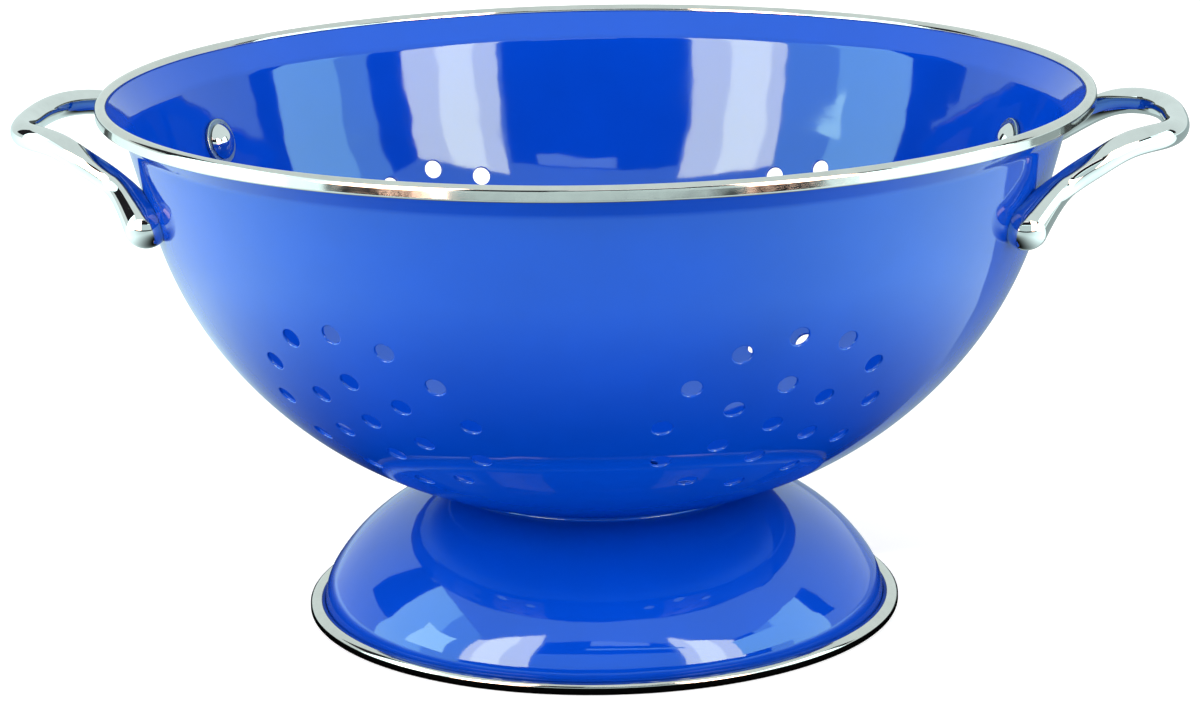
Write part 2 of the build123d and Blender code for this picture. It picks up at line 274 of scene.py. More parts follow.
def turned_block(profile, slopes, columns):
    """A half section carried round the Z axis.

    profile holds radius and height, slopes the outward normal's radius and height parts; the point at turn t
    is radius times (cos t, sin t) with its height, and its normal is turned in the same way.
    """
    turn = np.linspace(0, 2 * math.pi, columns + 1)
    turn[-1] = 0.0
    c, s = np.cos(turn)[None, :], np.sin(turn)[None, :]
    r, z = profile[:, 0:1], profile[:, 1:2]
    n, m = slopes[:, 0:1], slopes[:, 1:2]
    return np.stack([r * c, r * s, z + 0 * c], axis=-1), np.stack([n * c, n * s, m + 0 * c], axis=-1)


def rounded_outline(corners, radii, steps=8):
    """A closed outline with each corner rounded, and its outward normals.

    Corners run counter-clockwise. A corner's arc touches both of its sides, at the radius times the tangent
    of half its turn away from the corner. The normal turns evenly along the arc and is constant on a side.
    """
    corners, radii = np.asarray(corners, float), np.asarray(radii, float)
    ahead = unit(np.roll(corners, -1, axis=0) - corners)
    behind = np.roll(ahead, 1, axis=0)
    across = behind[:, 0] * ahead[:, 1] - behind[:, 1] * ahead[:, 0]
    turn = np.arctan2(across, (behind * ahead).sum(axis=1))
    back = radii * np.tan(np.abs(turn) / 2)
    start = np.arctan2(-behind[:, 0], behind[:, 1])
    part = np.linspace(0, 1, steps + 1)[None, :]
    out = start[:, None] + turn[:, None] * part
    normals = np.stack([np.cos(out), np.sin(out)], axis=-1)
    side = np.sign(turn)[:, None, None]
    side = np.where(side == 0, 1.0, side)
    first = corners - behind * back[:, None]
    centre = first - side[:, 0] * radii[:, None] * normals[:, 0]
    points = centre[:, None, :] + side * radii[:, None, None] * normals
    return points.reshape(-1, 2), normals.reshape(-1, 2)


def closed(points, normals):
    """An outline with its first point again at its end."""
    return np.concatenate([points, points[:1]]), np.concatenate([normals, normals[:1]])


def round_arc(centre, radius, start, end, steps, side=1.0):
    """Points and normals of an arc in the half section; side -1 points the normals to its centre."""
    turn = np.linspace(start, end, steps)
    ray = np.stack([np.cos(turn), np.sin(turn)], axis=1)
    return centre + radius * ray, ray * side


def outer_crossing(centre_a, radius_a, centre_b, radius_b):
    """The crossing of two circles in the half section that lies farther out from the axis."""
    apart = centre_b - centre_a
    gap = np.linalg.norm(apart)
    along = (radius_a**2 - radius_b**2 + gap**2) / (2 * gap)
    aside = math.sqrt(max(radius_a**2 - along**2, 0.0))
    ahead = apart / gap
    return centre_a + ahead * along + np.array([ahead[1], -ahead[0]]) * aside


def angle_of(ray):
    """Angle of a direction in the half section, up from level."""
    return math.atan2(ray[1], ray[0])


def four_sides(azimuth):
    """The four turns round the axis that lie at this angle from the nearer handle."""
    return [azimuth, math.pi - azimuth, math.pi + azimuth, 2 * math.pi - azimuth]


class WallOutline:
    """Outer face of the bowl's wall in half section, walked by its length from the axis.

    A level floor, a lower arc and a tangent upper arc up to the wall's slope, a straight stretch, then an arc
    that bends back to the flare's slope and a straight flare. The lower arc's radius follows from the rim's.
    """

    def __init__(self, sizes):
        self.sheet = sizes.sheet
        self.floor, self.base = sizes.floor_radius, sizes.floor_height
        self.turn, self.wall, self.flare = sizes.floor_arc_turn, sizes.wall_slope, sizes.flare_slope
        self.side_radius, self.bend_radius = sizes.side_arc_radius, sizes.bend_radius
        side_x = sizes.rim_radius - sizes.rim_overhang - self.side_radius
        self.low_radius = self.side_radius + (side_x - self.floor) / math.sin(self.turn)
        self.low_centre = np.array([self.floor, self.base + self.low_radius])
        drop = (self.low_radius - self.side_radius) * math.cos(self.turn)
        self.side_centre = np.array([side_x, self.low_centre[1] - drop])
        out = np.array([math.sin(self.wall), -math.cos(self.wall)])
        self.run_start = self.side_centre + self.side_radius * out
        run_end = self.run_start + sizes.wall_run * np.array([-out[1], out[0]])
        self.bend_centre = run_end + self.bend_radius * out
        self.low_end = self.floor + self.low_radius * self.turn
        self.side_end = self.low_end + self.side_radius * (self.wall - self.turn)
        self.run_end = self.side_end + sizes.wall_run
        self.bend_end = self.run_end + self.bend_radius * (self.wall - self.flare)
        over = np.array([-math.sin(self.flare), math.cos(self.flare)])
        self.flare_start = self.bend_centre + self.bend_radius * over
        upper = self.flare_start[0] + self.sheet * over[0]
        self.end = self.bend_end + (sizes.rim_radius - sizes.edge_inset - upper) / math.cos(self.flare)

    def at(self, along):
        """Radius, height and slope of the outer face at a length along it."""
        along = np.asarray(along, float)
        low = (along - self.floor) / self.low_radius
        side = self.turn + (along - self.low_end) / self.side_radius
        run = along - self.side_end
        bend = self.wall - (along - self.run_end) / self.bend_radius
        ends = (self.floor, self.low_end, self.side_end, self.run_end, self.bend_end)
        parts = [along < end for end in ends]
        slope = np.select(parts, [0 * along, low, side, self.wall + 0 * along, bend], self.flare)
        past = along - self.bend_end
        radius = np.select(
            parts,
            [
                along,
                self.low_centre[0] + self.low_radius * np.sin(low),
                self.side_centre[0] + self.side_radius * np.sin(side),
                self.run_start[0] + run * math.cos(self.wall),
                self.bend_centre[0] - self.bend_radius * np.sin(bend),
            ],
            self.flare_start[0] + past * math.cos(self.flare),
        )
        height = np.select(
            parts,
            [
                self.base + 0 * along,
                self.low_centre[1] - self.low_radius * np.cos(low),
                self.side_centre[1] - self.side_radius * np.cos(side),
                self.run_start[1] + run * math.sin(self.wall),
                self.bend_centre[1] + self.bend_radius * np.cos(bend),
            ],
            self.flare_start[1] + past * math.sin(self.flare),
        )
        return radius, height, slope

    def face(self, turn, along, depth):
        """Points this deep inside the outer face, at a turn and a length, and their outward normals."""
        radius, height, slope = self.at(along)
        turn = turn + 0 * radius
        across = np.stack([np.cos(turn), np.sin(turn), 0 * turn], axis=-1)
        normal = across * np.sin(slope)[..., None]
        normal[..., 2] = -np.cos(slope)
        point = across * radius[..., None]
        point[..., 2] = height
        return point - depth * normal, normal

    def place(self, points):
        """Turn, length, depth inside the outer face and outward normal of points near it, below the bend."""
        radius = np.hypot(points[..., 0], points[..., 1])
        turn = np.arctan2(points[..., 1], points[..., 0])
        height = points[..., 2]
        low_out, low_drop = radius - self.low_centre[0], self.low_centre[1] - height
        side_out, side_drop = radius - self.side_centre[0], self.side_centre[1] - height
        low, side = np.arctan2(low_out, low_drop), np.arctan2(side_out, side_drop)
        out, rise = radius - self.run_start[0], height - self.run_start[1]
        parts = [radius < self.floor, low < self.turn, side < self.wall]
        slope = np.select(parts, [0 * low, low, side], self.wall)
        along = np.select(
            parts,
            [
                radius,
                self.floor + self.low_radius * low,
                self.low_end + self.side_radius * (side - self.turn),
            ],
            self.side_end + out * math.cos(self.wall) + rise * math.sin(self.wall),
        )
        depth = np.select(
            parts,
            [
                height - self.base,
                self.low_radius - np.hypot(low_out, low_drop),
                self.side_radius - np.hypot(side_out, side_drop),
            ],
            rise * math.cos(self.wall) - out * math.sin(self.wall),
        )
        lean = np.sin(slope)
        normal = np.stack([np.cos(turn) * lean, np.sin(turn) * lean, -np.cos(slope)], axis=-1)
        return turn, along, depth, normal

    def press(self, points, aim, depth):
        """Points moved along a direction until they lie this deep inside the outer face (Newton's steps)."""
        points = np.array(points, float)
        for _ in range(12):
            _, _, found, normal = self.place(points)
            points = points + aim * ((found - depth) / np.sum(normal * aim, axis=-1))[..., None]
        return points, self.place(points)[3]


def wall_axes(azimuth, slope):
    """Level, upward and outward unit vectors of the plane that touches the wall at this azimuth and slope."""
    out = np.array([math.cos(azimuth), math.sin(azimuth), 0.0])
    level = np.array([-out[1], out[0], 0.0])
    normal = out * math.sin(slope) - np.array([0.0, 0.0, math.cos(slope)])
    return np.stack([level, np.cross(normal, level), normal])


def drilled_hole(wall, origin, axes, centre, loop, radius, lip, steps=3):
    """The wall round one hole, as one closed grid from the outer face through the hole to the inner face.

    Columns follow the loop round the hole's cell. Rows go from the loop half way in, to the start of the
    rounded lip, a quarter circle down into the hole, straight through, a quarter circle out, and back to the
    loop. The hole is drilled along the wall's normal at its centre, and each point centre + rho (cos, sin) is
    pressed along that normal.
    """
    level, up, out = axes
    spot, normal = wall.press(origin + centre[0] * level + centre[1] * up, out, 0.0)
    tangent = unit(np.cross(up, normal))
    upward = np.cross(normal, tangent)
    away = loop - centre
    angles = np.arctan2(away[:, 1], away[:, 0])
    ray = np.cos(angles)[:, None] * tangent + np.sin(angles)[:, None] * upward
    bend = np.linspace(0, math.pi / 2, steps + 1)

    def ring(rho, depth):
        return wall.press(spot + rho * ray, np.broadcast_to(normal, ray.shape), depth)

    def sheet_row(plane, depth):
        flat = origin + plane[:, :1] * level + plane[:, 1:] * up
        point, face = wall.press(flat, np.broadcast_to(out, flat.shape), 0.0)
        return point - depth * face, face

    def approach(depth):
        edge, face = ring(radius + lip, depth)
        edge = edge + depth * face - origin
        inner = np.stack([edge @ level, edge @ up], axis=1)
        return [sheet_row(loop + (inner - loop) * t, depth) for t in (0.0, 0.5)]

    rows, normals = [], []
    for point, face in approach(0.0):
        rows.append(point)
        normals.append(face)
    for turn in bend:
        point, face = ring(radius + lip * (1 - math.sin(turn)), lip * (1 - math.cos(turn)))
        rows.append(point)
        normals.append(unit(face * math.cos(turn) - ray * math.sin(turn)))
    for turn in bend[::-1]:
        point, face = ring(radius + lip * (1 - math.sin(turn)), wall.sheet - lip * (1 - math.cos(turn)))
        rows.append(point)
        normals.append(unit(-face * math.cos(turn) - ray * math.sin(turn)))
    for point, face in approach(wall.sheet)[::-1]:
        rows.append(point)
        normals.append(-face)
    points, normals = np.stack(rows), np.stack(normals)
    return np.concatenate([points, points[:, :1]], axis=1), np.concatenate([normals, normals[:, :1]], axis=1)


def arc_points(radius, start, end, steps):
    """Points on a circle round the group's middle, without the last one."""
    turn = np.radians(start + (end - start) * np.arange(steps) / steps)
    return radius * np.stack([np.cos(turn), np.sin(turn)], axis=1)


def ray_points(radius_from, radius_to, degrees, steps):
    """Points on a straight line out from the group's middle, without the last one."""
    reach = radius_from + (radius_to - radius_from) * np.arange(steps) / steps
    turn = math.radians(degrees)
    return reach[:, None] * np.array([[math.cos(turn), math.sin(turn)]])


def hole_cells(inner_ring, outer_ring, outer_steps):
    """Centres and closed cell outlines of a group, a middle hole and rings of 6 and 12, and its reach.

    The middle cell is a circle, and the others are sectors of rings, so that neighbouring cells share their
    points.
    """
    first = inner_ring / 2
    second = (inner_ring + outer_ring) / 2
    third = outer_ring + (outer_ring - second)
    cells = [(np.zeros(2), arc_points(first, 0, 360, 6 * MIDDLE_STEPS))]
    for count, ring, near, far, near_steps, far_steps in (
        (6, inner_ring, first, second, MIDDLE_STEPS, 2 * RING_STEPS),
        (12, outer_ring, second, third, RING_STEPS, outer_steps),
    ):
        half = 180 / count
        for step in range(count):
            middle = 90 + 2 * half * step
            low, high = middle - half, middle + half
            loop = [
                arc_points(far, low, high, far_steps),
                ray_points(far, near, high, RAY_STEPS),
                arc_points(near, high, low, near_steps),
                ray_points(near, far, low, RAY_STEPS),
            ]
            spot = ring * np.array([math.cos(math.radians(middle)), math.sin(math.radians(middle))])
            cells.append((spot, np.concatenate(loop)))
    return cells, third


def patch_between(wall, inner, window, rows=5):
    """The wall between a closed loop of points on it and a window of the regular grid, on both faces.

    inner holds the loop's turn and length, window the border's, both counter-clockwise with the same count.
    Between them turn and length change evenly.
    """
    part = np.linspace(0, 1, rows + 1)[:, None]
    turn = inner[None, :, 0] * (1 - part) + window[None, :, 0] * part
    along = inner[None, :, 1] * (1 - part) + window[None, :, 1] * part
    turn, along = (np.concatenate([v, v[:, :1]], axis=1) for v in (turn, along))
    outer, face = wall.face(turn, along, 0.0)
    inside, _ = wall.face(turn, along, wall.sheet)
    return [(outer[::-1], face[::-1]), (inside, -face)]


def window_border(turns, lengths):
    """The border of a rectangle of the regular grid, counter-clockwise from its lowest corner."""
    bottom = np.stack([turns[:-1], 0 * turns[:-1] + lengths[0]], axis=1)
    right = np.stack([0 * lengths[:-1] + turns[-1], lengths[:-1]], axis=1)
    top = np.stack([turns[:0:-1], 0 * turns[:0:-1] + lengths[-1]], axis=1)
    left = np.stack([0 * lengths[:0:-1] + turns[0], lengths[:0:-1]], axis=1)
    return np.concatenate([bottom, right, top, left])


def bowl_blocks(sizes, rivets, top):
    """Every block of the bowl: regular grid, windows round hole groups and rivet holes, holes, and edge."""
    wall = WallOutline(sizes)
    step = 2 * math.pi / COLUMNS
    blocks = []
    floor_cells, floor_reach = hole_cells(sizes.floor_inner_ring, sizes.floor_ring, 2 * RING_STEPS)
    down = np.stack([[1.0, 0.0, 0.0], [0.0, -1.0, 0.0], [0.0, 0.0, -1.0]])
    for centre, loop in floor_cells:
        origin = np.array([0.0, 0.0, sizes.floor_height])
        blocks.append(drilled_hole(wall, origin, down, centre, loop, sizes.hole_radius, sizes.hole_lip))
    floor_edge = wall.floor + wall.low_radius * math.asin((floor_reach - wall.floor) / wall.low_radius)
    above = np.concatenate([
        np.linspace(RIVET_ROWS[-1], wall.run_end, 6)[:-1],
        np.linspace(wall.run_end, wall.bend_end, 11)[:-1],
        np.linspace(wall.bend_end, wall.end, 4),
    ])

    def both_faces(first, last, along):
        turn = np.arange(first, last + 1) * step
        outer, face = wall.face(turn[None, :], along[:, None], 0.0)
        inside, _ = wall.face(turn[None, :], along[:, None], wall.sheet)
        blocks.extend([(outer, face), (inside[::-1], -face[::-1])])

    def beside_windows(columns, half, along):
        for first, last in zip(columns, columns[1:] + [columns[0] + COLUMNS]):
            both_faces(first + half, last - half, along)

    # Beside the groups, beside the rivets, then the rest up to the sheet's edge
    both_faces(0, COLUMNS, np.linspace(floor_edge, GROUP_ROWS[0], 14))
    groups = four_sides(sizes.group_azimuth)
    columns = [round(azimuth / step) for azimuth in groups]
    beside_windows(columns, GROUP_HALF, GROUP_ROWS)
    cells, reach = hole_cells(sizes.side_inner_ring, sizes.side_ring, RING_STEPS)
    middle = wall.floor + wall.low_radius * sizes.group_slope
    for azimuth, column in zip(groups, columns):
        axes = wall_axes(azimuth, sizes.group_slope)
        origin = wall.face(np.array(azimuth), np.array(middle), 0.0)[0]
        for centre, loop in cells:
            blocks.append(drilled_hole(wall, origin, axes, centre, loop, sizes.hole_radius, sizes.hole_lip))
        ring = arc_points(reach, 225, 585, 12 * RING_STEPS)
        flat = origin + ring[:, :1] * axes[0] + ring[:, 1:] * axes[1]
        pressed, _ = wall.press(flat, np.broadcast_to(axes[2], flat.shape), 0.0)
        turn, along, _, _ = wall.place(pressed)
        turn = azimuth + (turn - azimuth + math.pi) % (2 * math.pi) - math.pi
        border = window_border(np.arange(column - GROUP_HALF, column + GROUP_HALF + 1) * step, GROUP_ROWS)
        blocks.extend(patch_between(wall, np.stack([turn, along], axis=1), border))
    spots = four_sides(rivets.azimuth)
    columns = [round(azimuth / step) for azimuth in spots]
    beside_windows(columns, RIVET_HALF, RIVET_ROWS)
    for azimuth, column in zip(spots, columns):
        origin, axes = fastener_place(rivets, wall, top, azimuth)
        border = window_border(np.arange(column - RIVET_HALF, column + RIVET_HALF + 1) * step, RIVET_ROWS)
        edge, _ = wall.face(border[:, 0], border[:, 1], 0.0)
        loop = np.stack([(edge - origin) @ axes[0], (edge - origin) @ axes[1]], axis=1)
        hole = rivets.shank_radius + HOLE_PLAY
        blocks.append(drilled_hole(wall, origin, axes, np.zeros(2), loop, hole, sizes.rivet_hole_lip))
    both_faces(0, COLUMNS, above)
    turn = np.arange(COLUMNS + 1) * step
    edge_out, face = wall.face(turn, 0 * turn + wall.end, 0.0)
    edge_in, _ = wall.face(turn, 0 * turn + wall.end, wall.sheet)
    blocks.append((np.stack([edge_out, edge_in]), np.stack([face, -face])))
    return blocks


def rivet_length(wall, rivets, top):
    """Length along the outline to the rivets, on the straight wall or lower down on the upper arc."""
    height = top - rivets.drop
    past = (height - wall.run_start[1]) / math.sin(wall.wall)
    slope = math.acos((wall.side_centre[1] - height) / wall.side_radius)
    return wall.side_end + past if past > 0 else wall.low_end + wall.side_radius * (slope - wall.turn)


def foot_blocks(sizes, sheet, wall):
    """The foot ring's closed half section, turned round the axis.

    Outer side: turned-out edge, lower arc, upper arc, then a small hollow fillet of coat up to the bowl.
    Inner side: the same arcs one sheet inwards, with the seat that follows the bowl's lower arc between them.
    The fillet's circle touches the upper arc and the bowl from outside, so its middle is one radius off both.
    """
    top, flange = sizes.flange_height, sizes.wall_radius + sizes.flange_width
    low = np.array([sizes.wall_radius - sizes.low_arc_radius, top])
    lean = np.array([math.cos(sizes.join_angle), math.sin(sizes.join_angle)])
    high = low - lean * (sizes.high_arc_radius - sizes.low_arc_radius)
    seat_arc, fillet = wall.low_radius + FIT_GAP, sizes.coat_fillet
    under, inside = seat_arc + sheet, sizes.high_arc_radius - sheet
    pool = outer_crossing(high, sizes.high_arc_radius + fillet, wall.low_centre, seat_arc + fillet)
    start, end = angle_of(high - pool), angle_of(wall.low_centre - pool)
    if end > start:
        end -= 2 * math.pi
    join, seat_at = angle_of(pool - high), angle_of(pool - wall.low_centre)
    seat_end = -math.acos((sizes.seat_radius - sizes.seat_width - wall.floor) / seat_arc)
    inner = outer_crossing(high, inside, wall.low_centre, under)
    pieces = [
        round_arc(low, sizes.low_arc_radius, 0.0, sizes.join_angle, 12),
        round_arc(high, sizes.high_arc_radius, sizes.join_angle, join, 34),
        round_arc(pool, fillet, start, end, 9, -1.0),
        round_arc(wall.low_centre, seat_arc, seat_at, seat_end, 5, -1.0),
        round_arc(wall.low_centre, under, seat_end, angle_of(inner - wall.low_centre), 5),
        round_arc(high, inside, angle_of(inner - high), sizes.join_angle, 30, -1.0),
        round_arc(low, sizes.low_arc_radius - sheet, sizes.join_angle, 0.0, 10, -1.0),
        round_arc(np.array([sizes.wall_radius, top]), sheet, math.pi, 1.5 * math.pi, 6),
        (np.array([[flange, top - sheet], [flange, top]]), np.array([[0.0, -1.0], [0.0, 1.0]])),
    ]
    points = np.concatenate([p for p, _ in pieces])
    normals = np.concatenate([n for _, n in pieces])
    return [turned_block(*closed(points, normals), 240)]


def rim_band_blocks(sizes, rim_radius, wall):
    """The rim band's half section: a round crown, a straight outer side and a rolled lower edge.

    Inside it a slot holds the bowl's flared edge with a little play all round.
    """
    crown, bottom = sizes.rim_width / 2, sizes.rim_top - sizes.rim_height
    corner, bevel = sizes.rim_corner, sizes.rim_bevel
    middle = np.array([rim_radius - crown, sizes.rim_top - crown])
    arch, arch_face = round_arc(middle, crown, math.pi, 0.0, 25)
    turning = np.array([rim_radius - corner, bottom + corner])
    roll, roll_face = round_arc(turning, corner, 0.0, -math.pi / 2, 9)
    inside = rim_radius - sizes.rim_width
    skirt = inside + sizes.rim_skirt
    ahead = np.array([math.cos(wall.flare), math.sin(wall.flare)])
    over = np.array([-ahead[1], ahead[0]])
    edge = np.array(wall.at(wall.end)[:2]) + FIT_GAP * ahead
    low, high = edge - FIT_GAP * over, edge + (wall.sheet + FIT_GAP) * over

    def slot_at(corner, r):
        return [r, corner[1] + (r - corner[0]) * math.tan(wall.flare)]

    inner = np.array([
        [skirt + bevel, bottom],
        [skirt, bottom + bevel],
        slot_at(low, skirt),
        low,
        high,
        slot_at(high, inside + sizes.rim_mouth),
        slot_at(high + [0.0, sizes.rim_mouth_rise], inside),
    ])
    first_faces = [[-0.4, -0.9], [-1.0, 0.0], [-1.0, 0.3]]
    inner_face = np.array([*first_faces, over - ahead, -over - ahead, -over, [-1.0, -0.1]])
    points = np.concatenate([arch, roll, inner])[::-1]
    normals = np.concatenate([arch_face, roll_face, inner_face])[::-1]
    return [turned_block(*closed(points, normals), 360)]


def foot_band_blocks(sizes, foot_radius):
    """The foot band's half section: a low swelled top from inner lip to outer shoulder, rounded below.

    The top is the circle through the lip, the apex and the shoulder.
    """
    inner = foot_radius - sizes.foot_width
    left, right = np.array([inner, sizes.foot_lip]), np.array([foot_radius, sizes.foot_shoulder])
    apex = np.array([(inner + foot_radius) / 2, sizes.foot_height])
    sides = 2 * np.array([apex - left, right - left])
    centre = np.linalg.solve(sides, np.array([apex @ apex - left @ left, right @ right - left @ left]))
    radius = np.linalg.norm(apex - centre)
    arch, arch_face = round_arc(centre, radius, angle_of(left - centre), angle_of(right - centre), 41)
    corner, heel = sizes.foot_corner, sizes.foot_heel
    turning, back = np.array([foot_radius - corner, corner]), np.array([inner + heel, heel])
    roll, roll_face = round_arc(turning, corner, 0.0, -math.pi / 2, 9)
    rise, rise_face = round_arc(back, heel, -math.pi / 2, -math.pi, 7)
    fall = np.array([[0.0, sizes.foot_fall]])
    points = np.concatenate([left[None] - fall, arch[1:-1], right[None] - fall, roll, rise])
    normals = np.concatenate([[[-1.0, 0.0]], arch_face[1:-1], [[1.0, 0.0]], roll_face, rise_face])
    return [turned_block(*closed(points[::-1], normals[::-1]), 288)]


# Half of the handle's centre line: share of the reach, of the half span and of the rise
HANDLE_LINE = np.array([
    (0.0, 1.0, 0.0),
    (0.128, 0.858, 0.256),
    (0.258, 0.751, 0.466),
    (0.449, 0.7075, 0.723),
    (0.663, 0.6255, 0.945),
    (0.877, 0.487, 1.0),
    (0.979, 0.266, 0.99),
    (1.0, 0.0, 0.985),
])


def smooth_line(points, count):
    """A line through the points whose bend changes evenly between them, read at evenly spaced lengths.

    Between two points each coordinate is a cubic of the chord length. Slope and bend are the same on both
    sides of every point, and the bend is nothing at the two ends.
    """
    chord = np.linalg.norm(np.diff(points, axis=0), axis=1)
    at = np.concatenate([[0.0], np.cumsum(chord)])
    n = len(points)
    lhs = np.zeros((n, n))
    rhs = np.zeros((n, points.shape[1]))
    lhs[0, 0] = lhs[-1, -1] = 1.0
    inner = np.arange(1, n - 1)
    lhs[inner, inner - 1] = chord[:-1]
    lhs[inner, inner] = 2 * (chord[:-1] + chord[1:])
    lhs[inner, inner + 1] = chord[1:]
    rise = np.diff(points, axis=0) / chord[:, None]
    rhs[1:-1] = 6 * np.diff(rise, axis=0)
    bend = np.linalg.solve(lhs, rhs)
    here = np.linspace(0, at[-1], count)
    k = np.clip(np.searchsorted(at, here, side="right") - 1, 0, n - 2)
    h = chord[k][:, None]
    a = ((at[k + 1] - here)[:, None]) / h
    b = 1 - a
    near, far = points[k], points[k + 1]
    place = a * near + b * far + ((a**3 - a) * bend[k] + (b**3 - b) * bend[k + 1]) * h * h / 6
    slope = (far - near) / h + ((1 - 3 * a**2) * bend[k] + (3 * b**2 - 1) * bend[k + 1]) * h / 6
    return place, unit(slope), here, at


def handle_blocks(sizes, rivets, wall, top):
    """One handle as a closed skin: circles carried along its line, with half a ball on each end.

    The circle's radius swells from the bar to the ball as (1 - t) to a power, where t is the share of the way
    from the ball to the third point of the line.
    """
    spot, axes = fastener_place(rivets, wall, top, rivets.azimuth)
    ball = spot + np.array([sizes.ball_side, -sizes.ball_down, sizes.ball_standoff]) @ axes
    half = np.stack([
        ball[0] + HANDLE_LINE[:, 0] * sizes.reach,
        ball[1] * HANDLE_LINE[:, 1],
        ball[2] + HANDLE_LINE[:, 2] * sizes.rise,
    ], axis=1)
    points = np.concatenate([half, half[-2::-1] * np.array([1, -1, 1])])
    place, ahead, here, at = smooth_line(points, BAR_ROWS)
    reach = np.minimum(here, at[-1] - here) / at[2]
    swell = np.where(reach < 1, np.clip(1 - reach, 0, 1) ** sizes.swelling, 0.0)
    radius = sizes.bar_radius + (sizes.ball_radius - sizes.bar_radius) * swell
    up = np.broadcast_to(np.array([0.0, 0.0, 1.0]), ahead.shape)
    side = unit(np.cross(ahead, up))
    over = np.cross(ahead, side)
    turn = np.arange(BAR_SIDES + 1) * 2 * math.pi / BAR_SIDES
    turn[-1] = 0.0
    ring = np.cos(turn)[None, :, None] * side[:, None, :] + np.sin(turn)[None, :, None] * over[:, None, :]
    body = place[:, None, :] + radius[:, None, None] * ring

    def cap(k, sign):
        lean = np.linspace(0, math.pi / 2, CAP_ROWS)[:, None, None]
        out = ring[k][None] * np.cos(lean) + sign * ahead[k] * np.sin(lean)
        return place[k] + radius[k] * out, out

    start, start_face = cap(0, -1)
    end, end_face = cap(-1, 1)
    return [(body, ring), (start[::-1], start_face[::-1]), (end, end_face)]


def wall_room_blocks(wall):
    """The room that the bowl's wall takes behind one handle, grown by the play, as a closed slab.

    It trims the handle's feet. It spans 40 degrees to both sides of the handle's middle, from below the feet
    to the bend, and reaches well inside the bowl.
    """
    low, thick, half_span = 140 * MM, 14 * MM, 40.0
    along = np.concatenate([np.linspace(low, wall.side_end, 50), [wall.run_end]])
    turn = np.radians(np.linspace(-half_span, half_span, 161))
    outer, out_face = wall.face(turn[None, :], along[:, None], -FIT_GAP)
    back, _ = wall.face(turn[None, :], along[:, None], thick)
    left, right = (np.stack([outer[:, k], back[:, k]], axis=1) for k in (0, -1))
    edges = (left[:, ::-1], right, np.stack([back[0], outer[0]]), np.stack([outer[-1], back[-1]]))
    return [(outer, out_face), (back[::-1], -out_face[::-1])] + [(edge, np.ones_like(edge)) for edge in edges]


def turned_on_axis(profile, faces, spot, axes, columns):
    """A half section carried round a line through a spot: radius across, height along the plane's normal."""
    points, normals = turned_block(profile, faces, columns)
    return spot + points @ axes, normals @ axes


def rivet_blocks(sizes, wall, top, azimuth):
    """One rivet: a low dome with a straight edge inside the bowl, and its shank through the wall."""
    spot, axes = fastener_place(sizes, wall, top, azimuth)
    face = washer_height(sizes, wall) + sizes.washer_thickness + FIT_GAP
    edge, height, radius = sizes.dome_edge, sizes.dome_height, sizes.dome_radius
    bevel = sizes.dome_bevel
    ball = (radius**2 + height**2) / (2 * height)
    lean = np.linspace(0.0, math.asin(radius / ball), 17)
    dome = np.stack([ball * np.sin(lean), -(face + edge + height) + ball * (1 - np.cos(lean))], axis=1)
    dome_face = np.stack([np.sin(lean), -np.cos(lean)], axis=1)
    dome[0] = (0.0, -(face + edge + height))
    rest = np.array([
        [radius, -(face + bevel)],
        [radius - bevel, -face],
        [sizes.shank_radius, -face],
        [sizes.shank_radius, sizes.shank_depth],
        [0.0, sizes.shank_depth],
    ])
    rest_face = np.array([[1.0, 0.1], [0.3, 1.0], [0.7, 0.7], [0.7, 0.7], [0.0, 1.0]])
    profile, faces = np.concatenate([dome, rest]), np.concatenate([dome_face, rest_face])
    return [turned_on_axis(profile, faces, spot, axes, 64)]


def washer_blocks(sizes, wall, top, azimuth):
    """One washer: a flat ring with rounded rims, flat against the hollow wall."""
    spot, axes = fastener_place(sizes, wall, top, azimuth)
    low = washer_height(sizes, wall)
    high = low + sizes.washer_thickness
    hole, rim = sizes.shank_radius + HOLE_PLAY, sizes.washer_radius
    corners = [(hole, -high), (rim, -high), (rim, -low), (hole, -low)]
    hole_edge = sizes.washer_hole_edge
    outline = rounded_outline(corners, [hole_edge, sizes.washer_edge, sizes.washer_back_edge, hole_edge], 6)
    return [turned_on_axis(*closed(*outline), spot, axes, 72)]


def fastener_place(sizes, wall, top, azimuth):
    """Spot on the outer face and axes of its plane, at a rivet."""
    along = np.array(rivet_length(wall, sizes, top))
    return wall.face(np.array(azimuth), along, 0.0)[0], wall_axes(azimuth, float(wall.at(along)[2]))


def washer_height(sizes, wall):
    """Depth of a washer's back inside the wall's outer face: its rim touches the hollow wall first."""
    hollow = wall.side_radius - wall.sheet
    return wall.sheet + hollow - math.sqrt(hollow**2 - sizes.washer_radius**2) + FIT_GAP


# Finishes


def new_material(name):
    """A node material with nothing but its output: the material, its node tree and the output."""
    material = bpy.data.materials.new(name)
    material.use_nodes = True
    tree = material.node_tree
    tree.nodes.clear()
    out = tree.nodes.new("ShaderNodeOutputMaterial")
    return material, tree, out


def add_node(tree, kind, **values):
    """A node with the given properties and input defaults."""
    node = tree.nodes.new(kind)
    for key, value in values.items():
        if key in node.inputs:
            node.inputs[key].default_value = value
        else:
            setattr(node, key, value)
    return node


def noise(tree, place, scale, detail=2.0, rough=0.5):
    """The strength of a noise texture read at Object coordinates."""
    node = add_node(tree, "ShaderNodeTexNoise", Scale=scale, Detail=detail, Roughness=rough)
    tree.links.new(place, node.inputs["Vector"])
    return node.outputs["Fac"]


